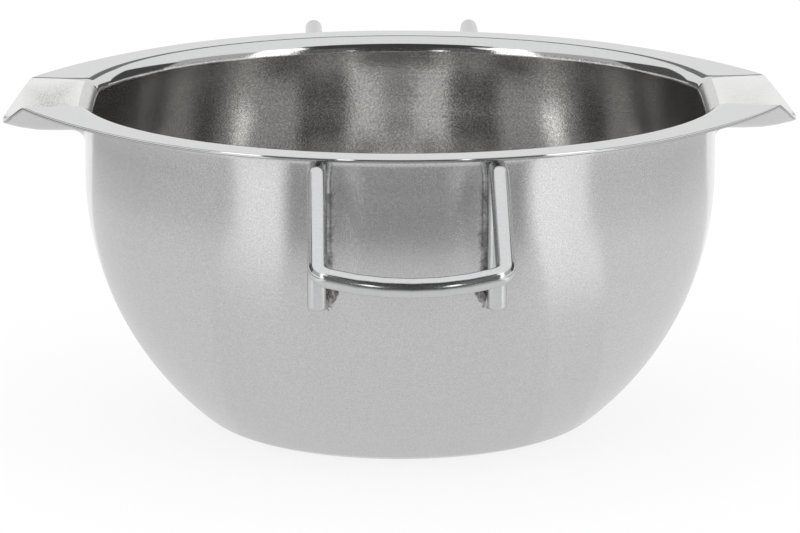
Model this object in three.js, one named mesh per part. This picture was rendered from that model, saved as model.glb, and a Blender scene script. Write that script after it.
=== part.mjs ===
// Bain-marie pot: a drawn steel bowl with two pouring spouts and two welded wire handles.
// Millimetres, +Z up. The origin is the centre of the flat base, the spouts point along X
// and the front handle along -Y.

import * as THREE from 'three';
import { mergeVertices } from 'three/addons/utils/BufferGeometryUtils.js';

// Bowl
const bowlDiameter = 110;        // outside of the straight wall
const bowlHeight = 58.6;         // base to the top of the flange
const sheet = 0.6;               // thickness of the drawn sheet
const wallHeight = 13.7;         // flange top down to where the round bottom starts
const baseDiameter = 57;         // flat part of the base
const baseCornerRadius = 10;     // between the flat base and the round bottom
const drawRadius = 2.8;          // rolled edge between the wall and the flange, inside
const flangeWidth = 5.3;         // flat part of the flange, away from the spouts

// Pouring spouts
const spoutWidth = 28.6;         // between the two corners of the lip
const spoutCornerLength = 7.9;   // rolled edge out to the line through the lip's corners
const spoutLength = 12.1;        // rolled edge out to the point of the lip
const spoutDepth = 6.1;          // flange down to the valley, beside the bowl
const lipDepth = 4.6;            // flange down to the valley, at the point of the lip
const lipRiseLength = 8.3;       // stretch over which the valley rises to the point
const valleyRadius = 3;          // rounding of the valley
const flareAngle = 45;           // where the flange starts to widen towards a spout, degrees

// Wire handles
const wireDiameter = 3.2;
const handleWidth = 29.6;        // between the centres of the two legs
const handleReach = 35.3;        // leg centre to the corner of arm and bar
const barBow = 3.2;              // how far the bar bows outwards between its corners
const barStraight = 0.3;         // straight left between the bow and each corner's bend
const bendInside = 1.4;          // inner radius of every tight bend
const legDrop = 26.5;            // flange top down to the lower end of a leg
const frontRun = 2.3;            // level stretch of the front arms past the flange's edge
const frontArmSlope = 21;        // front arms after that, degrees below level
const rearRun = 20;              // level stretch of the rear arms past the flange's edge
const rearArmSlope = 35;         // rear arms after that, degrees below level

// Weld beads
const beadRadius = 0.8;
const beadLength = 3.4;
const beadInset = 2;             // lower end of the leg up to the middle of the bead

// Clearances
const jointGap = 0.3;            // between pieces that touch

// Facets
const spoutSteps = 6;
const flareSteps = 6;
const plainSteps = 6;
const bottomSteps = 9;
const cornerSteps = 4;
const drawSteps = 4;
const shelfSteps = 4;
const wireSides = 10;
const wireStep = 2;              // length of one facet along a wire
const beadSides = 10;
const beadRings = 6;

const radians = THREE.MathUtils.degToRad;

// Bowl section, as distance from the axis and height: a straight wall, a round side that is
// tangent to it, and a corner that joins the side to the flat base.
const bowlRadius = bowlDiameter / 2;
const shoulder = bowlHeight - wallHeight;
const cornerCentre = new THREE.Vector2(baseDiameter / 2, baseCornerRadius);
const sideSpan = bowlRadius - cornerCentre.x;
const sideLift = shoulder - cornerCentre.y;
const sideReach = sideSpan ** 2 + sideLift ** 2 - baseCornerRadius ** 2;
const sideRadius = sideReach / (2 * (sideSpan - baseCornerRadius));
const sideCentre = new THREE.Vector2(bowlRadius - sideRadius, shoulder);

// Flange and spouts, as distances and angles from the axis
const flangeStart = bowlRadius - sheet + drawRadius;
const flangeRadius = flangeStart + flangeWidth;
const spoutTipRadius = flangeStart + spoutLength;
const spoutCorner = new THREE.Vector2(flangeStart + spoutCornerLength, spoutWidth / 2);
const spoutCornerRadius = spoutCorner.length();
const spoutHalfAngle = spoutCorner.angle();
const valleyRounding = valleyRadius / spoutCorner.y;
const flareStart = radians(flareAngle);

// Handle legs stand on the wall
const wireRadius = wireDiameter / 2;
const bendRadius = wireRadius + bendInside;
const halfWidth = handleWidth / 2;
const legRadius = bowlRadius + jointGap + wireRadius;
const legOffset = Math.sqrt(legRadius ** 2 - halfWidth ** 2);
const legEnd = new THREE.Vector2(legOffset, bowlHeight - legDrop);

const satinSteel = { color: 0xb9babc, roughness: 0.36, metalness: 1 };
const polishedSteel = { color: 0xd4d5d7, roughness: 0.14, metalness: 1 };
const weldSteel = { color: 0x8d8b88, roughness: 0.5, metalness: 1 };

// Rounded V: 0 in the valley, 1 at the edges.
function valley(share) {
  const bottom = Math.hypot(share, valleyRounding) - valleyRounding;
  return bottom / (Math.hypot(1, valleyRounding) - valleyRounding);
}

// Angle from the middle line of the nearer spout.
function angleFromSpout(azimuth) {
  return Math.abs(Math.asin(Math.sin(azimuth)));
}

// Outer edge of the flange: a circle that flares to the spout's corners and comes to a point at the lip.
function flangeEdge(azimuth) {
  const angle = angleFromSpout(azimuth);
  if (angle <= spoutHalfAngle) {
    return spoutTipRadius + (spoutCornerRadius - spoutTipRadius) * valley(angle / spoutHalfAngle);
  }
  if (angle >= flareStart) return flangeRadius;
  const share = (flareStart - angle) / (flareStart - spoutHalfAngle);
  return flangeRadius + (spoutCornerRadius - flangeRadius) * share ** 2;
}

// Height of the flange's top face, which a spout presses down into a V.
function flangeTop(radius, azimuth) {
  const angle = angleFromSpout(azimuth);
  if (angle >= spoutHalfAngle) return bowlHeight;
  const rise = THREE.MathUtils.clamp((radius - spoutTipRadius) / lipRiseLength + 1, 0, 1);
  const depth = spoutDepth + (lipDepth - spoutDepth) * rise ** 2;
  return bowlHeight - depth * (1 - valley(angle / spoutHalfAngle));
}

// Points of a round stretch of the section.
function arc(centre, radius, from, to, steps) {
  const points = [];
  for (let i = 0; i <= steps; i += 1) {
    const angle = from + (to - from) * i / steps;
    points.push(new THREE.Vector2(Math.cos(angle), Math.sin(angle)).multiplyScalar(radius).add(centre));
  }
  return points;
}

// One face of the sheet in one direction, from the middle of the base to the flange's edge.
// The inner face is the outer one moved in by the sheet's thickness.
function sheetFace(azimuth, inset) {
  const meet = cornerCentre.clone().sub(sideCentre).angle() - 2 * Math.PI;
  const corner = arc(cornerCentre, baseCornerRadius - inset, -Math.PI / 2, meet, cornerSteps);
  const side = arc(sideCentre, sideRadius - inset, meet, 0, bottomSteps).slice(1);
  const below = sheet - inset;
  const drawCentre = new THREE.Vector2(flangeStart, flangeTop(flangeStart, azimuth) - drawRadius);
  const draw = arc(drawCentre, drawRadius - below, Math.PI, Math.PI / 2, drawSteps);
  const shelf = [];
  for (let i = 1; i <= shelfSteps; i += 1) {
    const radius = flangeStart + (flangeEdge(azimuth) - flangeStart) * i / shelfSteps;
    shelf.push(new THREE.Vector2(radius, flangeTop(radius, azimuth) - below));
  }
  return [new THREE.Vector2(0, inset), ...corner, ...side, ...draw, ...shelf];
}

// Evenly spaced angles, without the last one.
function spread(from, to, steps) {
  return Array.from({ length: steps }, (_, i) => from + (to - from) * i / steps);
}

// Directions round the axis, closer together across the spouts.
function bowlDirections() {
  const quarter = [
    ...spread(0, spoutHalfAngle, spoutSteps),
    ...spread(spoutHalfAngle, flareStart, flareSteps),
    ...spread(flareStart, Math.PI / 2, plainSteps),
  ];
  const mirrored = quarter.slice(1).map((angle) => Math.PI - angle).reverse();
  const half = [...quarter, Math.PI / 2, ...mirrored];
  return [...half, ...half.map((angle) => angle + Math.PI), 2 * Math.PI];
}

// The drawn bowl: a turned skin whose section follows the flange's height and reach in each direction.
function makeBowl() {
  const directions = bowlDirections();
  const section = (azimuth) => [...sheetFace(azimuth, 0), ...sheetFace(azimuth, sheet).reverse()];
  const skin = new THREE.LatheGeometry(section(0), directions.length - 1);
  const { position } = skin.attributes;
  directions.forEach((azimuth, i) => {
    section(azimuth).forEach((point, j, points) => {
      const x = point.x * Math.cos(azimuth);
      const y = point.x * Math.sin(azimuth);
      position.setXYZ(i * points.length + j, x, y, point.y);
    });
  });
  skin.deleteAttribute('normal');
  skin.deleteAttribute('uv');
  const closed = mergeVertices(skin);
  closed.computeVertexNormals();
  return closed;
}

// A circular bend that leaves one straight and joins the next.
class Bend extends THREE.Curve {
  constructor(start, corner, end, radius) {
    super();
    const incoming = corner.clone().sub(start).normalize();
    const outgoing = end.clone().sub(corner).normalize();
    this.turn = incoming.angleTo(outgoing);
    this.axis = incoming.clone().cross(outgoing).normalize();
    const inwards = this.axis.clone().cross(incoming);
    this.centre = start.clone().addScaledVector(inwards, radius);
    this.spoke = inwards.multiplyScalar(-radius);
  }

  getPoint(t, target = new THREE.Vector3()) {
    return target.copy(this.spoke).applyAxisAngle(this.axis, this.turn * t).add(this.centre);
  }
}

// Length of straight that a bend takes up on each side of its corner.
function bendShare(before, corner, after, radius) {
  const turn = corner.clone().sub(before).angleTo(after.clone().sub(corner));
  return radius * Math.tan(turn / 2);
}

// Point at a distance from a corner, towards another point.
function towards(corner, other, distance) {
  return corner.clone().lerp(other, distance / corner.distanceTo(other));
}

// A bent wire through the given corners, each inner one with its own bend radius.
function makeWire(corners, radii) {
  const path = new THREE.CurvePath();
  let from = corners[0];
  for (let i = 1; i < corners.length - 1; i += 1) {
    const [before, corner, after] = corners.slice(i - 1, i + 2);
    const share = bendShare(before, corner, after, radii[i]);
    const start = towards(corner, before, share);
    const end = towards(corner, after, share);
    path.add(new THREE.LineCurve3(from, start));
    path.add(new Bend(start, corner, end, radii[i]));
    from = end;
  }
  path.add(new THREE.LineCurve3(from, corners.at(-1)));
  const round = new THREE.Shape(spread(0, 2 * Math.PI, wireSides).map(
    (angle) => new THREE.Vector2(Math.cos(angle), Math.sin(angle)).multiplyScalar(wireRadius),
  ));
  const steps = Math.round(path.getLength() / wireStep);
  return new THREE.ExtrudeGeometry(round, { extrudePath: path, steps, bevelEnabled: false });
}

// A handle from one arm's outline, leg end to arm corner. The bar closes the loop, bowed in the arms' plane.
function makeHandle(outline, side) {
  const place = (x, point) => new THREE.Vector3(x, side * point.x, point.y);
  const armEnd = outline.at(-1);
  const outwards = armEnd.clone().sub(outline.at(-2)).normalize();
  const bowAngle = 2 * Math.atan2(barBow, halfWidth);
  const bowPoint = armEnd.clone().addScaledVector(outwards, halfWidth * Math.tan(bowAngle));
  const middle = place(0, bowPoint);
  const left = outline.map((point) => place(-halfWidth, point));
  const right = outline.map((point) => place(halfWidth, point)).reverse();
  const cornerShare = bendShare(left.at(-2), left.at(-1), middle, bendRadius);
  const bowShare = left.at(-1).distanceTo(middle) - cornerShare - barStraight;
  const corners = [...left, middle, ...right];
  const radii = corners.map((corner) => (corner === middle ? bowShare / Math.tan(bowAngle) : bendRadius));
  return makeWire(corners, radii);
}

// An arm's outline: up the leg, level under the flange and past its edge, then down to the bar.
function armOutline(run, slope) {
  const level = bowlHeight - sheet - jointGap - wireRadius;
  const edgeReach = Math.sqrt(flangeRadius ** 2 - halfWidth ** 2);
  const knee = new THREE.Vector2(edgeReach + run, level);
  const reach = legOffset + handleReach;
  const armEnd = new THREE.Vector2(reach, level - (reach - knee.x) * Math.tan(radians(slope)));
  return [legEnd, new THREE.Vector2(legOffset, level), knee, armEnd];
}

// A weld bead, which runs along its leg.
function makeBead() {
  const bead = new THREE.SphereGeometry(beadRadius, beadSides, beadRings);
  bead.rotateX(Math.PI / 2);
  bead.scale(1, 1, beadLength / (2 * beadRadius));
  return bead;
}

// Place of the right rear bead: in the groove on the inner side of its leg, clear of the leg and of the wall.
// Where the wall has curved too far away, the bead lies straight behind the leg.
function beadPlace() {
  const height = legEnd.y + beadInset;
  const belowShoulder = Math.max(shoulder - height, 0);
  const wallRadius = sideCentre.x + Math.sqrt(sideRadius ** 2 - belowShoulder ** 2);
  const radius = wallRadius + jointGap + beadRadius;
  const apart = beadRadius + jointGap + wireRadius;
  const cosine = (legRadius ** 2 + radius ** 2 - apart ** 2) / (2 * legRadius * radius);
  const angle = Math.asin(halfWidth / legRadius) - Math.acos(Math.min(cosine, 1));
  return new THREE.Vector3(radius * Math.sin(angle), radius * Math.cos(angle), height);
}

const pot = new THREE.Group();

function addPiece(name, geometry, finish) {
  const mesh = new THREE.Mesh(geometry, new THREE.MeshStandardMaterial(finish));
  mesh.name = name;
  pot.add(mesh);
  return mesh;
}

addPiece('bowl', makeBowl(), satinSteel);
addPiece('front_handle', makeHandle(armOutline(frontRun, frontArmSlope), -1), polishedSteel);
addPiece('rear_handle', makeHandle(armOutline(rearRun, rearArmSlope), 1), polishedSteel);

for (const [end, along] of [['front', -1], ['rear', 1]]) {
  for (const [hand, across] of [['left', -1], ['right', 1]]) {
    const bead = addPiece(`${end}_${hand}_weld`, makeBead(), weldSteel);
    bead.position.copy(beadPlace()).multiply(new THREE.Vector3(across, along, 1));
  }
}

export default pot;
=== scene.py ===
import math
import bmesh
import bpy
from mathutils import Matrix, Vector, noise


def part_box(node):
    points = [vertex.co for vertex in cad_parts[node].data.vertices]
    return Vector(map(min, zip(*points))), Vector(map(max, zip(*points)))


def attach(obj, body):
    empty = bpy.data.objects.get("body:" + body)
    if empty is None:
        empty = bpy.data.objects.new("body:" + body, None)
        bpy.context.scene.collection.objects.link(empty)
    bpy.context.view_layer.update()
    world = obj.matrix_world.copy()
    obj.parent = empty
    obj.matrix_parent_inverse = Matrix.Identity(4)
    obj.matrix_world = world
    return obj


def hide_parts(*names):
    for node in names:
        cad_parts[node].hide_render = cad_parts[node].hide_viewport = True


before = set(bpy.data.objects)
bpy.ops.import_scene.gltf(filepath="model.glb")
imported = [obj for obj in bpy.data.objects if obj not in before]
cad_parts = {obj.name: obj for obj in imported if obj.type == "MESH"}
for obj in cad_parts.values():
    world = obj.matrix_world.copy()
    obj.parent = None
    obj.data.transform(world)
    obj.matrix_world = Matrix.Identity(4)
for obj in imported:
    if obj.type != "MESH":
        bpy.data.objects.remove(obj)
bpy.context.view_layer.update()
mm = 0.001
up = Vector((0, 0, 1))
print("frame loaded:", sorted(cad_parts))


# Camera, at the photo's angle: a long lens from in front, a little above the rim
shot = {
    "lens": 215.7,       # mm
    "sensor": 36.0,      # mm
    "nearest": 10.0,     # what is closer isn't seen, mm
    "distance": 823.5,   # level distance to the bowl's axis, mm
    "aboveRim": 150.9,   # mm
    "pitch": 12.485,     # degrees below level
    "turn": -1.2,        # round the axis, degrees
}


def addCamera():
    data = bpy.data.cameras.new("photoCamera")
    data.lens = shot["lens"]
    data.sensor_width = shot["sensor"]
    data.clip_start = shot["nearest"] * mm
    camera = bpy.data.objects.new("photoCamera", data)
    bpy.context.scene.collection.objects.link(camera)
    turn = math.radians(shot["turn"])
    away = Vector((math.sin(turn), -math.cos(turn), 0)) * shot["distance"] * mm
    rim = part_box("bowl")[1].z
    camera.location = away + up * (rim + shot["aboveRim"] * mm)
    camera.rotation_euler = (math.radians(90 - shot["pitch"]), 0, turn)
    bpy.context.scene.camera = camera


addCamera()
print("camera placed")


# Small helpers for node trees
def node(tree, kind, **settings):
    made = tree.nodes.new(kind)
    for name, value in settings.items():
        if name in made.inputs:
            made.inputs[name].default_value = value
        else:
            setattr(made, name, value)
    return made


def math2(tree, operation, first, second=None):
    made = tree.nodes.new("ShaderNodeMath")
    made.operation = operation
    for socket, value in zip(made.inputs, (first, second)):
        if value is None:
            continue
        if isinstance(value, (int, float)):
            socket.default_value = value
        else:
            tree.links.new(value, socket)
    return made.outputs[0]


def spreadTo(tree, value, low, high):
    made = node(tree, "ShaderNodeMapRange")
    tree.links.new(value, made.inputs["Value"])
    made.inputs["To Min"].default_value = low
    made.inputs["To Max"].default_value = high
    return made.outputs["Result"]


# Stretches a part of a value's range to 0 to 1
def sharpened(tree, value, low, high):
    made = node(tree, "ShaderNodeMapRange")
    tree.links.new(value, made.inputs["Value"])
    made.inputs["From Min"].default_value = low
    made.inputs["From Max"].default_value = high
    return made.outputs["Result"]


def blendGrey(tree, mask, dark, light):
    ramp = tree.nodes.new("ShaderNodeMix")
    ramp.data_type = "RGBA"
    tree.links.new(mask, ramp.inputs["Factor"])
    ramp.inputs["A"].default_value = (*dark, 1)
    ramp.inputs["B"].default_value = (*light, 1)
    return ramp.outputs["Result"]


def newGroup(name, inputs, outputs):
    tree = bpy.data.node_groups.new(name, "ShaderNodeTree")
    for label, value in inputs.items():
        socket = tree.interface.new_socket(label, in_out="INPUT", socket_type="NodeSocketFloat")
        socket.default_value = value
    for label in outputs:
        tree.interface.new_socket(label, in_out="OUTPUT", socket_type="NodeSocketFloat")
    return tree, tree.nodes.new("NodeGroupInput"), tree.nodes.new("NodeGroupOutput")


noiseSpread = (0.3, 0.7)  # where most values of a noise texture lie
middleTone = 0.5


# Lines that run round the pot, as a turned and brushed sheet has
def makeTurnedLines():
    tree, given, out = newGroup("turnedLines", {"Lines": 2500.0, "Length": 3.0}, ["Tone"])
    coords = node(tree, "ShaderNodeTexCoord").outputs["Object"]
    apart = node(tree, "ShaderNodeSeparateXYZ")
    tree.links.new(coords, apart.inputs[0])
    x, y, z = apart.outputs
    squares = math2(tree, "ADD", math2(tree, "MULTIPLY", x, x), math2(tree, "MULTIPLY", y, y))
    reach = math2(tree, "SQRT", squares)
    offAxis = math2(tree, "MAXIMUM", reach, 0.1 * mm)  # nothing is divided by zero
    joined = node(tree, "ShaderNodeCombineXYZ")
    for side, socket in zip((x, y), joined.inputs):
        around = math2(tree, "DIVIDE", side, offAxis)
        tree.links.new(math2(tree, "MULTIPLY", around, given.outputs["Length"]), socket)
    along = math2(tree, "SUBTRACT", z, reach)
    tree.links.new(math2(tree, "MULTIPLY", along, given.outputs["Lines"]), joined.inputs[2])
    clouds = node(tree, "ShaderNodeTexNoise", Scale=1.0, Detail=3.0, Roughness=0.6)
    tree.links.new(joined.outputs[0], clouds.inputs["Vector"])
    tree.links.new(clouds.outputs["Fac"], out.inputs["Tone"])
    return tree


# Even, fine grain of a satin or bead-blasted surface
def makeFineGrain():
    tree, given, out = newGroup("fineGrain", {"Scale": 4000.0}, ["Tone"])
    coords = node(tree, "ShaderNodeTexCoord").outputs["Object"]
    clouds = node(tree, "ShaderNodeTexNoise", Detail=2.0, Roughness=0.7)
    tree.links.new(coords, clouds.inputs["Vector"])
    tree.links.new(given.outputs["Scale"], clouds.inputs["Scale"])
    tree.links.new(sharpened(tree, clouds.outputs["Fac"], *noiseSpread), out.inputs["Tone"])
    return tree


# Broad soft patches: handling, washing and uneven polish
def makeSoftWear():
    tree, given, out = newGroup("softWear", {"Scale": 60.0}, ["Tone"])
    coords = node(tree, "ShaderNodeTexCoord").outputs["Object"]
    clouds = node(tree, "ShaderNodeTexNoise", Detail=4.0, Roughness=0.55, Distortion=0.4)
    tree.links.new(coords, clouds.inputs["Vector"])
    tree.links.new(given.outputs["Scale"], clouds.inputs["Scale"])
    tree.links.new(sharpened(tree, clouds.outputs["Fac"], *noiseSpread), out.inputs["Tone"])
    return tree


# Scuffed middle of a spout's two panels: 0 along their borders, 1 in the middle, fainter on the right
def makePanelScuff():
    core = 0.25  # share of the half width that is fully worn
    tree, given, out = newGroup("panelScuff", {
        "Side": 0.0075, "Reach": 0.0615, "Half": 0.0052, "Right": 0.3}, ["Tone"])
    apart = node(tree, "ShaderNodeSeparateXYZ")
    tree.links.new(node(tree, "ShaderNodeTexCoord").outputs["Object"], apart.inputs[0])
    x, y = apart.outputs[:2]
    across = math2(tree, "SUBTRACT", math2(tree, "ABSOLUTE", y), given.outputs["Side"])
    along = math2(tree, "SUBTRACT", math2(tree, "ABSOLUTE", x), given.outputs["Reach"])
    far = math2(tree, "MAXIMUM", math2(tree, "ABSOLUTE", across), math2(tree, "ABSOLUTE", along))
    share = math2(tree, "DIVIDE", far, given.outputs["Half"])
    left = math2(tree, "LESS_THAN", x, 0.0)
    strength = math2(tree, "MAXIMUM", left, given.outputs["Right"])
    worn = math2(tree, "MULTIPLY", sharpened(tree, share, 1.0, core), strength)
    tree.links.new(worn, out.inputs["Tone"])
    return tree


# Painted shade: a dark, ragged line painted in the groove on the inner side of each leg, where the leg
# meets the wall
def makeLegGrooveShade():
    darkest = -0.6   # share of the width, with its ragged shift, at which the painted shade is full
    strength = 0.9
    topRagged = 4.0  # times as ragged at the upper end
    tree, given, out = newGroup("legGrooveShade", {
        "Side": 0.0128, "Width": 0.0009, "Ragged": 0.0042,
        "Low": 0.0318, "High": 0.0530, "Scale": 420.0}, ["Tone"])
    coords = node(tree, "ShaderNodeTexCoord").outputs["Object"]
    apart = node(tree, "ShaderNodeSeparateXYZ")
    tree.links.new(coords, apart.inputs[0])
    x, y, z = apart.outputs
    clouds = node(tree, "ShaderNodeTexNoise", Detail=4.0, Roughness=0.7)
    tree.links.new(coords, clouds.inputs["Vector"])
    tree.links.new(given.outputs["Scale"], clouds.inputs["Scale"])
    uneven = math2(tree, "SUBTRACT", clouds.outputs["Fac"], middleTone)
    shift = math2(tree, "MULTIPLY", uneven, given.outputs["Ragged"])
    sideways = math2(tree, "SUBTRACT", math2(tree, "ABSOLUTE", x), given.outputs["Side"])
    off = math2(tree, "ADD", math2(tree, "ABSOLUTE", sideways), shift)
    share = math2(tree, "DIVIDE", off, given.outputs["Width"])
    mask = math2(tree, "MULTIPLY", sharpened(tree, share, 1.0, darkest), strength)
    above = math2(tree, "GREATER_THAN", z, math2(tree, "ADD", given.outputs["Low"], shift))
    topShift = math2(tree, "MULTIPLY", shift, topRagged)
    below = math2(tree, "LESS_THAN", z, math2(tree, "ADD", given.outputs["High"], topShift))
    handles = math2(tree, "GREATER_THAN", math2(tree, "ABSOLUTE", y), math2(tree, "ABSOLUTE", x))
    for limit in (above, below, handles):
        mask = math2(tree, "MULTIPLY", mask, limit)
    tree.links.new(mask, out.inputs["Tone"])
    return tree


turnedLines = makeTurnedLines()
fineGrain = makeFineGrain()
softWear = makeSoftWear()
panelScuff = makePanelScuff()
legGrooveShade = makeLegGrooveShade()
print("finish groups made")


def place(tree, group, **values):
    made = tree.nodes.new("ShaderNodeGroup")
    made.node_tree = group
    for name, value in values.items():
        made.inputs[name].default_value = value
    return made.outputs["Tone"]


tangentPoint = (0, 0, 0.2)  # above the pot: a line to it crosses the turned lines everywhere


# One steel recipe; each finish has its own values
def makeSteel(name, look):
    material = bpy.data.materials.new(name)
    material.use_nodes = True
    tree = material.node_tree
    shader = tree.nodes["Principled BSDF"]
    shader.inputs["Metallic"].default_value = look.get("metal", 1.0)
    shader.inputs["Anisotropic"].default_value = look["stretch"]
    shader.inputs["Specular Tint"].default_value = (*[look["edge"]] * 3, 1)
    lines = place(tree, turnedLines, Lines=look["lines"], Length=look["lineLength"])
    grain = place(tree, fineGrain, Scale=look["grainScale"])
    wear = place(tree, softWear, Scale=look["wearScale"])
    tone = math2(tree, "ADD", math2(tree, "MULTIPLY", lines, look["lineShare"]),
                 math2(tree, "MULTIPLY", grain, 1 - look["lineShare"]))
    if look.get("scuff"):
        worn = math2(tree, "MULTIPLY", math2(tree, "SUBTRACT", 1.0, tone), place(tree, panelScuff))
        patchy = math2(tree, "MULTIPLY", worn, spreadTo(tree, wear, *look["scuff"]))
        tone = math2(tree, "SUBTRACT", 1.0, patchy)
    colour = blendGrey(tree, tone, look["dark"], look["light"])
    # Painted shade: the groove beside each leg darkens the colour
    if look.get("grooveShade"):
        grooveShaded = node(tree, "ShaderNodeMix", data_type="RGBA")
        tree.links.new(place(tree, legGrooveShade), grooveShaded.inputs["Factor"])
        tree.links.new(colour, grooveShaded.inputs["A"])
        grooveShaded.inputs["B"].default_value = (*look["grooveShade"], 1)
        colour = grooveShaded.outputs["Result"]
    tree.links.new(colour, shader.inputs["Base Color"])
    rough = math2(tree, "ADD", spreadTo(tree, wear, *look["rough"]),
                  math2(tree, "MULTIPLY", math2(tree, "SUBTRACT", tone, middleTone), look["roughGrain"]))
    tree.links.new(rough, shader.inputs["Roughness"])
    bump = node(tree, "ShaderNodeBump", Strength=look["bump"], Distance=look["bumpDepth"] * mm)
    tree.links.new(tone, bump.inputs["Height"])
    tree.links.new(bump.outputs["Normal"], shader.inputs["Normal"])
    if look["stretch"]:
        across = node(tree, "ShaderNodeVectorMath", operation="SUBTRACT")
        tree.links.new(node(tree, "ShaderNodeTexCoord").outputs["Object"], across.inputs[0])
        across.inputs[1].default_value = tangentPoint
        tree.links.new(across.outputs["Vector"], shader.inputs["Tangent"])
    return material


outerSatin = makeSteel("outerSatin", {
    "dark": (0.53, 0.53, 0.53), "light": (0.77, 0.77, 0.77), "edge": 1.0, "rough": (0.165, 0.19),
    "roughGrain": 0.05, "stretch": 1.0, "lines": 2600, "lineLength": 2.0, "lineShare": 0.1,
    # the last value is the colour of the painted shade in the groove beside each leg
    "grainScale": 5200, "wearScale": 35, "bump": 0.10, "bumpDepth": 0.02, "grooveShade": (0.10, 0.095, 0.09),
})
innerSatin = makeSteel("innerSatin", {
    "dark": (0.36, 0.355, 0.348), "light": (0.87, 0.861, 0.847), "edge": 1.0, "rough": (0.065, 0.09),
    "roughGrain": 0.06, "stretch": 0.9, "lines": 2200, "lineLength": 2.5, "lineShare": 0.25,
    "grainScale": 3200, "wearScale": 45, "bump": 0.24, "bumpDepth": 0.02, "metal": 0.97,
})
rimPolish = makeSteel("rimPolish", {
    "dark": (0.64, 0.642, 0.645), "light": (0.69, 0.692, 0.695), "edge": 0.88, "rough": (0.06, 0.10),
    "roughGrain": 0.03, "stretch": 0.0, "lines": 1800, "lineLength": 2.0, "lineShare": 0.5,
    "grainScale": 2500, "wearScale": 50, "bump": 0.03, "bumpDepth": 0.01,
})
spoutSatin = makeSteel("spoutSatin", {
    "dark": (0.26, 0.255, 0.25), "light": (0.82, 0.82, 0.815), "edge": 1.0, "rough": (0.18, 0.24),
    "roughGrain": 0.10, "stretch": 0.0, "lines": 1800, "lineLength": 2.0, "lineShare": 0.1,
    "grainScale": 4200, "wearScale": 330, "bump": 0.06, "bumpDepth": 0.02, "scuff": (0.5, 1.0),
})
spoutRoll = makeSteel("spoutRoll", {
    "dark": (0.62, 0.618, 0.615), "light": (0.72, 0.718, 0.715), "edge": 1.0, "rough": (0.34, 0.40),
    "roughGrain": 0.05, "stretch": 0.0, "lines": 2000, "lineLength": 2.0, "lineShare": 0.5,
    "grainScale": 3000, "wearScale": 200, "bump": 0.04, "bumpDepth": 0.01,
})
# Painted shade: a dark finish for the downward faces at the cut edge, which draws the line of shade under
# the rim
shadedBurr = makeSteel("shadedBurr", {
    "dark": (0.28, 0.28, 0.28), "light": (0.44, 0.44, 0.44), "edge": 1.0, "rough": (0.25, 0.40),
    "roughGrain": 0.10, "stretch": 0.0, "lines": 3000, "lineLength": 6.0, "lineShare": 0.3,
    "grainScale": 3000, "wearScale": 300, "bump": 0.10, "bumpDepth": 0.02,
})
print("bowl finishes made")


# Bowl: one drawn sheet, modelled on its inner face and then given its thickness; lengths in mm
bowl = {
    "wallRadius": 55.0,    # outside of the straight wall
    "sheet": 0.6,
    "wallHeight": 13.7,    # rim down to where the round side starts
    "baseRadius": 28.5,    # flat part
    "baseCorner": 10.0,
    "drawRadius": 2.8,     # rolled edge into the flange
    "columns": 240,        # a multiple of four
    "cornerSteps": 8,      # facets of the section's three arcs
    "sideSteps": 26,
    "drawSteps": 10,
    "baseStops": (0.3, 0.7, 0.97, 1.0),                  # shares of the section's three straights
    "wallStops": (0.33, 0.67, 1.0),
    "flangeStops": (0.04, 0.25, 0.5, 0.75, 0.94, 1.0),
    "merge": 0.001,        # vertices this close are one
    "rimBevel": 0.03,      # upper corner of the cut edge
    "rimBurr": 0.18,       # lower corner
    "rimSegments": 2,
    "rimLean": 0.03,       # the cut edge leans in at the top
}
spout = {
    "halfWidth": 14.3,
    "cornerLength": 7.9,   # from the rolled edge
    "depth": 6.1,
    "lipDepth": 4.6,
    "lipRise": 8.3,        # length over which the valley rises to the lip
    "valleyRadius": 3.0,
    "flare": 45.0,         # degrees from the spout's middle
    "lipCrease": 0.07,     # rounding of the crease, as a share of the depth
    "bowlCrease": 0.20,    # the same beside the bowl
    "creaseFade": 5.0,     # length over which it changes
    "columnStops": ((0, 0), (6, 2.5), (18, 10.5), (32, 14.5), (46, 45), (60, 90)),  # column, degrees
}

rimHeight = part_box("bowl")[1].z
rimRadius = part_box("bowl")[1].y
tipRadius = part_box("bowl")[1].x
wallInner = (bowl["wallRadius"] - bowl["sheet"]) * mm
flangeStart = wallInner + bowl["drawRadius"] * mm
shoulder = rimHeight - bowl["wallHeight"] * mm
wallTop = rimHeight - bowl["drawRadius"] * mm


def lineTo(bm, vert, x, z):
    grown = bmesh.ops.extrude_vert_indiv(bm, verts=[vert])["verts"][0]
    grown.co = Vector((x, 0, z))
    return grown


# Turns a vertex about a centre in the XZ plane; the arc it draws is part of the section
def arcTo(bm, vert, centreX, centreZ, degrees, steps):
    drawn = bmesh.ops.spin(bm, geom=[vert], cent=(centreX, 0, centreZ), axis=(0, -1, 0),
                           angle=math.radians(degrees), steps=steps, use_duplicate=False)
    return next(part for part in drawn["geom_last"] if isinstance(part, bmesh.types.BMVert))


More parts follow.
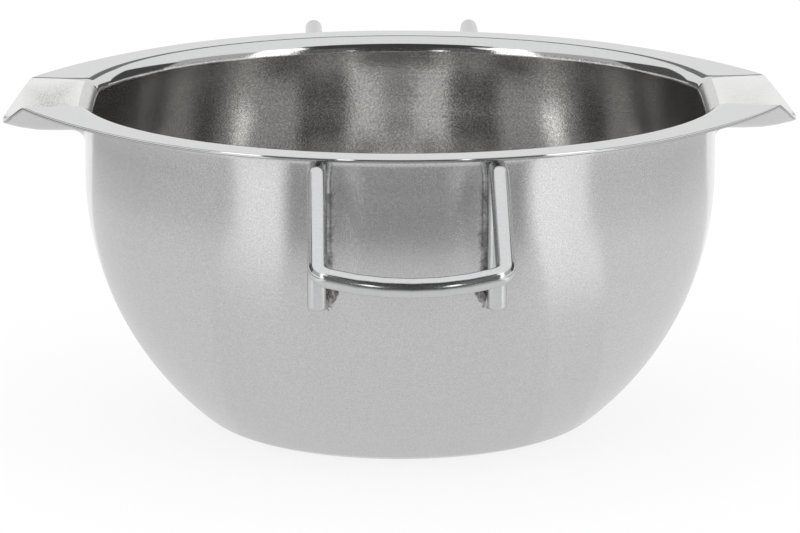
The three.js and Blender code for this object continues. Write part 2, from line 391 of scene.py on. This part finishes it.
def drawSection(bm):
    corner = bowl["baseCorner"] * mm
    baseRadius = bowl["baseRadius"] * mm
    sheet = bowl["sheet"] * mm
    span = bowl["wallRadius"] * mm - baseRadius
    lift = shoulder - corner
    sideRadius = (span ** 2 + lift ** 2 - corner ** 2) / (2 * (span - corner))
    sideX = bowl["wallRadius"] * mm - sideRadius
    meet = math.degrees(math.atan2(lift, baseRadius - sideX))  # below level, where corner and side meet
    tip = bm.verts.new((0, 0, sheet))
    for share in bowl["baseStops"]:
        tip = lineTo(bm, tip, baseRadius * share, sheet)
    tip = arcTo(bm, tip, baseRadius, corner, 90 - meet, bowl["cornerSteps"])
    tip = arcTo(bm, tip, sideX, shoulder, meet, bowl["sideSteps"])
    for share in bowl["wallStops"]:
        tip = lineTo(bm, tip, wallInner, shoulder + (wallTop - shoulder) * share)
    tip = arcTo(bm, tip, flangeStart, wallTop, -90, bowl["drawSteps"])
    for share in bowl["flangeStops"]:
        tip = lineTo(bm, tip, flangeStart + (rimRadius - flangeStart) * share, rimHeight)


# More columns across the spouts and their creases, fewer on the plain wall
def spreadColumn(angle):
    column = angle / (math.pi / 2) * bowl["columns"] / 4
    stops = spout["columnStops"]
    for (lowColumn, low), (highColumn, high) in zip(stops, stops[1:]):
        if column <= highColumn:
            return math.radians(low + (high - low) * (column - lowColumn) / (highColumn - lowColumn))
    return math.pi / 2


cornerPoint = Vector((flangeStart + spout["cornerLength"] * mm, spout["halfWidth"] * mm))
cornerRadius = cornerPoint.length
cornerAngle = math.atan2(cornerPoint.y, cornerPoint.x)


# Rounded V: 0 in the valley, 1 at the crease
def valley(share):
    rounding = spout["valleyRadius"] / spout["halfWidth"]
    return (math.hypot(share, rounding) - rounding) / (math.hypot(1, rounding) - rounding)


def edgeReach(angle):
    if angle <= cornerAngle:
        return tipRadius + (cornerRadius - tipRadius) * valley(angle / cornerAngle)
    flare = math.radians(spout["flare"])
    share = max(flare - angle, 0) / (flare - cornerAngle)
    return rimRadius + (cornerRadius - rimRadius) * share ** 2


# How far the spout presses the flange down at this distance and angle
def pressDepth(reach, angle):
    sunk = 1 - valley(angle / cornerAngle)
    share = min(max((reach - flangeStart) / (spout["creaseFade"] * mm), 0), 1)
    crease = spout["bowlCrease"] + (spout["lipCrease"] - spout["bowlCrease"]) * share ** 0.5
    softened = sunk if sunk > crease else max(sunk + crease, 0) ** 2 / (4 * crease)
    rise = min(max((reach - tipRadius) / (spout["lipRise"] * mm) + 1, 0), 1)
    return (spout["depth"] + (spout["lipDepth"] - spout["depth"]) * rise ** 2) * mm * softened


def pressSpouts(bm):
    nearly = 0.01 * mm
    for vert in bm.verts:
        x, y, z = vert.co
        reach = math.hypot(x, y)
        if reach < nearly:
            continue
        angle = spreadColumn(math.atan2(abs(y), abs(x)))
        if z > rimHeight - nearly and reach > flangeStart - nearly:      # flange
            share = (reach - flangeStart) / (rimRadius - flangeStart)
            reach = flangeStart + share * (edgeReach(angle) - flangeStart)
            z -= pressDepth(reach, angle)
        elif z > wallTop - nearly:                                       # rolled edge
            z -= pressDepth(flangeStart, angle)
        elif z > shoulder:                                               # wall
            z -= pressDepth(flangeStart, angle) * (z - shoulder) / (wallTop - shoulder)
        vert.co = (math.copysign(reach * math.cos(angle), x), math.copysign(reach * math.sin(angle), y), z)


# Where one finish of the bowl ends and the next begins
border = {
    "edge": 0.2,       # in from the cut edge, for what looks outwards, mm
    "nearly": 0.01,    # in from the cut edge, mm
    "flange": 0.15,    # out from the wall, mm
    "panel": 0.3,      # in from the flange, mm
    "inside": 0.2,     # out from the wall, mm
    "steep": 0.5,      # part of the normal, outwards or up
    "level": 0.05,     # part of the normal, up or down
    "under": -0.2,     # the same, below which faces at the cut edge take the painted shade
    "sheetSide": 0.3,  # the same, for the faces beside the cut edge
}


# Faces take the finish of the side of the sheet that they are on
def paintBowl(bm):
    outer, inner, polished, pressed, shadedUnderside, rolled = range(6)
    for face in bm.faces:
        centre = face.calc_center_median()
        reach = math.hypot(centre.x, centre.y)
        angle = math.atan2(abs(centre.y), abs(centre.x))
        limit = edgeReach(angle)
        upwards = face.normal.z
        outwards = Vector((centre.x, centre.y, 0)).normalized().dot(face.normal)
        atEdge = reach > limit - border["edge"] * mm and outwards > border["steep"]
        onFlange = reach > wallInner + border["flange"] * mm and centre.z > shoulder
        inside = reach < wallInner + border["inside"] * mm
        looksIn = upwards > border["steep"] or outwards < 0
        if atEdge or reach > limit - border["nearly"] * mm:
            # Downward faces at the cut edge take the dark painted shade, the others the polish
            face.material_index = shadedUnderside if upwards < border["under"] else polished
        elif onFlange and upwards > border["level"]:
            inSpout = pressed if reach > flangeStart - border["panel"] * mm else rolled
            face.material_index = inSpout if angle < cornerAngle else polished
        elif inside and looksIn and upwards > -border["level"]:
            face.material_index = inner
        else:
            face.material_index = outer


# The thickness leans the lip's edge outwards, past the CAD's reach
def trimEdge(bm):
    for vert in bm.verts:
        reach = math.hypot(vert.co.x, vert.co.y)
        limit = edgeReach(math.atan2(abs(vert.co.y), abs(vert.co.x)))
        if reach > limit:
            vert.co.xy = vert.co.xy * (limit / reach)


cutCorner = math.radians(60)    # only a cut sheet or wire has sharper ones
shadeCorner = math.radians(28)  # shading breaks here


def cutCorners(bm):
    return [edge for edge in bm.edges if edge.calc_face_angle(0) > cutCorner]


# Corners of the cut edge: side 1 is the upper one, side -1 the lower one
def rimEdges(bm, side):
    bm.normal_update()
    return [edge for edge in cutCorners(bm)
            if max(side * face.normal.z for face in edge.link_faces) > border["sheetSide"]]


def leanEdge(bm):
    for vert in {vert for edge in rimEdges(bm, 1) for vert in edge.verts}:
        vert.co.xy = vert.co.xy * (1 - bowl["rimLean"] * mm / vert.co.xy.length)


def makeBowl():
    bm = bmesh.new()
    drawSection(bm)
    bmesh.ops.spin(bm, geom=bm.verts[:] + bm.edges[:], cent=(0, 0, 0), axis=up, angle=2 * math.pi,
                   steps=bowl["columns"], use_merge=True, use_duplicate=False)
    bmesh.ops.remove_doubles(bm, verts=bm.verts, dist=bowl["merge"] * mm)
    pressSpouts(bm)
    bmesh.ops.recalc_face_normals(bm, faces=bm.faces)
    middle = min(bm.faces, key=lambda face: face.calc_center_median().length)
    if middle.normal.z < 0:
        bmesh.ops.reverse_faces(bm, faces=bm.faces)
    bmesh.ops.solidify(bm, geom=bm.faces[:], thickness=bowl["sheet"] * mm)
    trimEdge(bm)
    leanEdge(bm)
    for side, offset in ((1, bowl["rimBevel"]), (-1, bowl["rimBurr"])):
        bmesh.ops.bevel(bm, geom=rimEdges(bm, side), offset=offset * mm, affect="EDGES",
                        segments=bowl["rimSegments"], profile=0.5, material=-1)
    trimEdge(bm)
    paintBowl(bm)
    return bm


def addPiece(name, bm, materials):
    for face in bm.faces:
        face.smooth = True
    for edge in bm.edges:
        edge.smooth = edge.calc_face_angle(0) < shadeCorner
    mesh = bpy.data.meshes.new(name)
    bm.to_mesh(mesh)
    bm.free()
    for material in materials:
        mesh.materials.append(material)
    piece = bpy.data.objects.new(name, mesh)
    bpy.context.scene.collection.objects.link(piece)
    return piece


def standFor(piece, cadNode):
    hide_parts(cadNode)
    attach(piece, "root")


bowlPiece = addPiece("drawn_bowl", makeBowl(), [
    outerSatin, innerSatin, rimPolish, spoutSatin, shadedBurr, spoutRoll])
standFor(bowlPiece, "bowl")
print("bowl made:", len(bowlPiece.data.polygons), "faces")


# Wire handles: a round section carried along straights and bends; lengths in mm
wire = {
    "radius": 1.58,
    "sides": 28,
    "halfWidth": 14.8,     # leg centre from the middle
    "reach": 35.3,         # leg to the corner of arm and bar
    "bow": 3.15,           # of the bar, outwards
    "barStraight": 0.3,
    "bend": 3.0,           # centre line of the tight bends
    "legDrop": 26.5,       # below the rim
    "gap": 0.3,            # leg off the wall, and front arm under the flange
    "frontRun": 2.3,       # level past the flange's edge
    "frontSlope": 21.0,    # after that, degrees
    "rearRun": 20.0,
    "rearSlope": 35.0,
    "edgeLoop": 0.1,       # short facet at each end of a straight, which keeps its shading straight
    "endRound": 0.55,      # ground ends of the legs
    "endSegments": 4,
    "bendStep": 7.5,       # degrees for one facet
}

wirePolish = makeSteel("wirePolish", {
    "dark": (0.64, 0.642, 0.65), "light": (0.70, 0.702, 0.71), "edge": 0.80, "rough": (0.14, 0.19),
    "roughGrain": 0.04, "stretch": 0.0, "lines": 1500, "lineLength": 4.0, "lineShare": 0.3,
    "grainScale": 1800, "wearScale": 90, "bump": 0.05, "bumpDepth": 0.015,
})

wireRadius = wire["radius"] * mm
halfWidth = wire["halfWidth"] * mm
legReach = math.sqrt(((bowl["wallRadius"] + wire["gap"]) * mm + wireRadius) ** 2 - halfWidth ** 2)
legFoot = rimHeight - wire["legDrop"] * mm
armReach = legReach + wire["reach"] * mm
bend = wire["bend"] * mm


# An arm as distance from the axis and height: up the leg, level past the flange's edge, down to the bar
def armOutline(run, slope):
    level = rimHeight - (bowl["sheet"] + wire["gap"]) * mm - wireRadius
    knee = math.sqrt(rimRadius ** 2 - halfWidth ** 2) + run * mm
    return [(legReach, legFoot), (legReach, level), (knee, level),
            (armReach, level - (armReach - knee) * math.tan(math.radians(slope)))]


# Straight length that a bend takes from each side of its corner
def bendShare(before, corner, after, radius):
    return radius * math.tan((corner - before).angle(after - corner) / 2)


def openEdges(parts):
    return [part for part in parts if isinstance(part, bmesh.types.BMEdge) and part.is_boundary]


def extrudeRing(bm, ring, move, bendBefore=True, bendAfter=True):
    loop = move.normalized() * wire["edgeLoop"] * mm
    steps = [loop] * bendBefore + [move - loop * (bendBefore + bendAfter)] + [loop] * bendAfter
    for step in steps:
        grown = bmesh.ops.extrude_edge_only(bm, edges=ring)["geom"]
        verts = [part for part in grown if isinstance(part, bmesh.types.BMVert)]
        bmesh.ops.translate(bm, verts=verts, vec=step)
        ring = openEdges(grown)
    return ring


def spinRing(bm, ring, centre, axis, angle):
    steps = max(2, round(math.degrees(angle) / wire["bendStep"]))
    verts = {vert for edge in ring for vert in edge.verts}
    turned = bmesh.ops.spin(bm, geom=[*verts, *ring], cent=centre, axis=axis, angle=angle, steps=steps,
                            use_duplicate=False)
    return openEdges(turned["geom_last"])


def bendWire(corners, radii):
    bm = bmesh.new()
    heading = (corners[1] - corners[0]).normalized()
    start = Matrix.Translation(corners[0]) @ heading.to_track_quat("Z", "Y").to_matrix().to_4x4()
    bmesh.ops.create_circle(bm, cap_ends=False, segments=wire["sides"], radius=wireRadius, matrix=start)
    ring = bm.edges[:]
    at = corners[0]
    for before, corner, after, radius in zip(corners, corners[1:], corners[2:], radii):
        incoming = (corner - before).normalized()
        outgoing = (after - corner).normalized()
        axis = incoming.cross(outgoing).normalized()
        begin = corner - incoming * bendShare(before, corner, after, radius)
        ring = extrudeRing(bm, ring, begin - at, bendBefore=at != corners[0])
        ring = spinRing(bm, ring, begin + axis.cross(incoming) * radius, axis, incoming.angle(outgoing))
        at = corner + outgoing * bendShare(before, corner, after, radius)
    extrudeRing(bm, ring, corners[-1] - at, bendAfter=False)
    bmesh.ops.holes_fill(bm, edges=bm.edges, sides=0)
    bmesh.ops.recalc_face_normals(bm, faces=bm.faces)
    bmesh.ops.bevel(bm, geom=cutCorners(bm), offset=wire["endRound"] * mm, affect="EDGES",
                    segments=wire["endSegments"], profile=0.5, material=-1)
    return bm


def makeHandle(arm, side):
    bowAngle = 2 * math.atan2(wire["bow"], wire["halfWidth"])
    (lastReach, lastHeight), (endReach, endHeight) = arm[-2:]
    outwards = Vector((endReach - lastReach, endHeight - lastHeight)).normalized()
    bowPoint = Vector((endReach, endHeight)) + outwards * halfWidth * math.tan(bowAngle)
    middle = Vector((0, side * bowPoint.x, bowPoint.y))
    left = [Vector((-halfWidth, side * reach, height)) for reach, height in arm]
    right = [Vector((halfWidth, side * reach, height)) for reach, height in reversed(arm)]
    corners = [*left, middle, *right]
    cornerShare = bendShare(left[-2], left[-1], middle, bend)
    bowShare = (left[-1] - middle).length - cornerShare - wire["barStraight"] * mm
    radii = [bowShare / math.tan(bowAngle) if corner == middle else bend for corner in corners[1:-1]]
    return bendWire(corners, radii)


frontArm = armOutline(wire["frontRun"], wire["frontSlope"])
rearArm = armOutline(wire["rearRun"], wire["rearSlope"])
for cadNode, arm, side in (("front_handle", frontArm, -1), ("rear_handle", rearArm, 1)):
    handlePiece = addPiece(cadNode.replace("handle", "wire_handle"), makeHandle(arm, side), [wirePolish])
    standFor(handlePiece, cadNode)
    print(cadNode, "made:", len(handlePiece.data.polygons), "faces")


# Weld beads at the inner side of each leg's foot
weld = {
    "size": (0.95, 0.8, 1.5),   # half lengths, mm
    "subdivisions": 4,
    "lumps": 1.6,               # how close together
    "lumpDepth": 0.22,          # share of the half lengths
}

weldMetal = makeSteel("weldMetal", {
    "dark": (0.12, 0.115, 0.11), "light": (0.50, 0.495, 0.485), "edge": 1.0, "rough": (0.30, 0.50),
    "roughGrain": 0.15, "stretch": 0.0, "lines": 1500, "lineLength": 3.0, "lineShare": 0.2,
    "grainScale": 1500, "wearScale": 600, "bump": 0.25, "bumpDepth": 0.05,
})


def makeBead(cadNode):
    low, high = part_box(cadNode)
    centre = (low + high) / 2
    bm = bmesh.new()
    bmesh.ops.create_icosphere(bm, subdivisions=weld["subdivisions"], radius=1)
    for vert in bm.verts:
        lump = noise.noise(vert.co * weld["lumps"] + centre / mm)
        vert.co *= 1 - weld["lumpDepth"] * (1 - lump) / 2
    bmesh.ops.scale(bm, vec=Vector(weld["size"]) * mm, verts=bm.verts)
    bmesh.ops.translate(bm, vec=centre, verts=bm.verts)
    return bm


for cadNode in ("front_left_weld", "front_right_weld", "rear_left_weld", "rear_right_weld"):
    beadPiece = addPiece(cadNode.replace("weld", "weld_bead"), makeBead(cadNode), [weldMetal])
    standFor(beadPiece, cadNode)
print("weld beads made")


# Studio: white floor and surround, four soft boxes, and grey cards and mats that only the steel sees; in m
studio = {
    "floorSize": 6.0,
    "floorWhite": 0.9,
    "glow": 0.8,             # share of the floor that is plain white to the eye
    "roomLight": 1.15,       # on the floor
    "aim": (0, 0, 0.04),
    "boxes": (               # azimuth from the camera, elevation, distance, width, height, brightness
        (-47, 25, 0.75, 0.26, 0.55, 1.1),        # wide, at the sides
        (52, 25, 0.75, 0.22, 0.55, 1.2),
        (-18, 20, 0.9, 0.09, 0.45, 2.8),         # narrow, in front
        (20, 20, 0.9, 0.09, 0.45, 2.8),
    ),
    "cards": (               # the same, with the grey
        (0, 30.2, 1.1, 1.35, 1.43, 0.06),        # behind the camera
        (0, -4.2, 0.3, 0.25, 0.036, 0.12),       # low in front of the wall
        (0, 31, 0.408, 0.32, 0.21, 0.06),        # hides the narrow boxes from the rolled edge
        (-30, 14.7, 0.335, 0.13, 0.25, 0.14),    # beside the front handle
        (30, 14.7, 0.335, 0.13, 0.25, 0.14),
        (180, 24, 1.0, 0.44, 0.21, 0.22),        # straight behind
        (-120.5, 20.5, 1.0, 0.70, 0.52, 0.10),   # behind, at the sides
        (120.5, 19.2, 1.0, 0.70, 0.47, 0.075),
        (-78.5, 24, 1.0, 0.75, 0.54, 0.52),      # at the sides
        (78.5, 24, 1.0, 0.75, 0.54, 0.52),
        (-150, 8.5, 1.0, 0.35, 0.16, 0.12),      # low behind
        (150, 8.5, 1.0, 0.35, 0.16, 0.12),
    ),
    "mats": (                # azimuths from the camera, near grey, far grey, reach of the change, far end
        (-37, 42, 0.77, 0.29, (0.13, 0.26), 0.318),
        (-58, -37, 0.77, 0.98, (0.08, 0.16), 0.9),
        (-141, -58, 0.80, 0.22, (0.24, 0.36), 0.9),
        (42, 64, 0.80, 1.08, (0.07, 0.13), 0.9),
        (64, 138, 0.84, 0.40, (0.23, 0.37), 0.9),
    ),
    "matStart": 0.033,
    "matHeight": 0.001,
    "matSteps": 24,
}


# 1 for the rays that the eye, metal and glass look along
def lookingRays(tree):
    path = node(tree, "ShaderNodeLightPath")
    both = math2(tree, "ADD", path.outputs["Is Camera Ray"], path.outputs["Is Glossy Ray"])
    every = math2(tree, "ADD", both, path.outputs["Is Transmission Ray"])
    return math2(tree, "MINIMUM", every, 1.0)


def addPlane(name, centre, size, material):
    bm = bmesh.new()
    bmesh.ops.create_grid(bm, x_segments=1, y_segments=1, size=0.5)
    bmesh.ops.scale(bm, vec=(size[0], size[1], 1), verts=bm.verts)
    bmesh.ops.translate(bm, vec=centre, verts=bm.verts)
    piece = addPiece(name, bm, [material])
    return piece


def addFloor():
    material = bpy.data.materials.new("paleFloor")
    material.use_nodes = True
    tree = material.node_tree
    tree.nodes.clear()
    white = studio["floorWhite"]
    matte = node(tree, "ShaderNodeBsdfDiffuse", Color=(white, white, white, 1))
    glow = node(tree, "ShaderNodeEmission", Color=(1, 1, 1, 1), Strength=1.0)
    mix = node(tree, "ShaderNodeMixShader")
    tree.links.new(math2(tree, "MULTIPLY", lookingRays(tree), studio["glow"]), mix.inputs["Fac"])
    tree.links.new(matte.outputs[0], mix.inputs[1])
    tree.links.new(glow.outputs[0], mix.inputs[2])
    tree.links.new(mix.outputs[0], node(tree, "ShaderNodeOutputMaterial").inputs["Surface"])
    size = studio["floorSize"]
    addPlane("floor", (0, 0, 0), (size, size), material)


# Grey from near to far over the mat's fade, or one grey
def greyGlow(name, near, far, fadeReach=(0, 1)):
    material = bpy.data.materials.new(name)
    material.use_nodes = True
    tree = material.node_tree
    tree.nodes.clear()
    reach = node(tree, "ShaderNodeVectorMath", operation="LENGTH")
    tree.links.new(node(tree, "ShaderNodeTexCoord").outputs["Object"], reach.inputs[0])
    fade = node(tree, "ShaderNodeMapRange", interpolation_type="SMOOTHSTEP")
    tree.links.new(reach.outputs["Value"], fade.inputs["Value"])
    fade.inputs["From Min"].default_value, fade.inputs["From Max"].default_value = fadeReach
    fade.inputs["To Min"].default_value = near
    fade.inputs["To Max"].default_value = far
    glow = node(tree, "ShaderNodeEmission", Color=(1, 1, 1, 1))
    tree.links.new(fade.outputs["Result"], glow.inputs["Strength"])
    tree.links.new(glow.outputs[0], node(tree, "ShaderNodeOutputMaterial").inputs["Surface"])
    return material


# Only the steel sees these
def hideCard(card):
    card.visible_camera = False
    card.visible_diffuse = False
    card.visible_shadow = False


# A place round the pot that faces it
def facing(azimuth, elevation, distance):
    turn, rise = math.radians(azimuth), math.radians(elevation)
    away = Vector((math.sin(turn) * math.cos(rise), -math.cos(turn) * math.cos(rise), math.sin(rise)))
    aim = Vector(studio["aim"])
    return Matrix.Translation(aim + away * distance) @ away.to_track_quat("Z", "Y").to_matrix().to_4x4()


def addCards():
    for index, (azimuth, elevation, distance, width, height, grey) in enumerate(studio["cards"]):
        card = addPlane(f"card{index}", (0, 0, 0), (width, height), greyGlow(f"card{index}", grey, grey))
        card.data.transform(facing(azimuth, elevation, distance))
        hideCard(card)


# Sheets on the floor round the pot, as sectors of a ring
def addMats():
    height = studio["matHeight"]
    nearReach = studio["matStart"]
    for index, (first, last, near, far, fadeReach, farReach) in enumerate(studio["mats"]):
        turn = math.radians(first)
        bm = bmesh.new()
        start = bm.verts.new((math.sin(turn) * nearReach, -math.cos(turn) * nearReach, height))
        grown = bmesh.ops.extrude_vert_indiv(bm, verts=[start])
        grown["verts"][0].co = (math.sin(turn) * farReach, -math.cos(turn) * farReach, height)
        bmesh.ops.spin(bm, geom=bm.verts[:] + bm.edges[:], cent=(0, 0, 0), axis=up,
                       angle=math.radians(last - first), steps=studio["matSteps"], use_duplicate=False)
        mat = addPiece(f"mat{index}", bm, [greyGlow(f"mat{index}", near, far, fadeReach)])
        hideCard(mat)


def addBoxes():
    for index, (azimuth, elevation, distance, width, height, brightness) in enumerate(studio["boxes"]):
        data = bpy.data.lights.new(f"softBox{index}", "AREA")
        data.shape = "RECTANGLE"
        data.size, data.size_y = width, height
        data.energy = brightness * math.pi * width * height
        lamp = bpy.data.objects.new(f"softBox{index}", data)
        lamp.matrix_world = facing(azimuth, elevation, distance)
        bpy.context.scene.collection.objects.link(lamp)


def addWorld():
    world = bpy.data.worlds.new("studioWorld")
    bpy.context.scene.world = world
    world.use_nodes = True
    tree = world.node_tree
    tree.nodes["Background"].inputs["Color"].default_value = (1, 1, 1, 1)
    strength = spreadTo(tree, lookingRays(tree), studio["roomLight"], 1.0)
    tree.links.new(strength, tree.nodes["Background"].inputs["Strength"])


addFloor()
addCards()
addMats()
addBoxes()
addWorld()
bpy.context.scene.view_settings.view_transform = "Standard"
print("studio set")
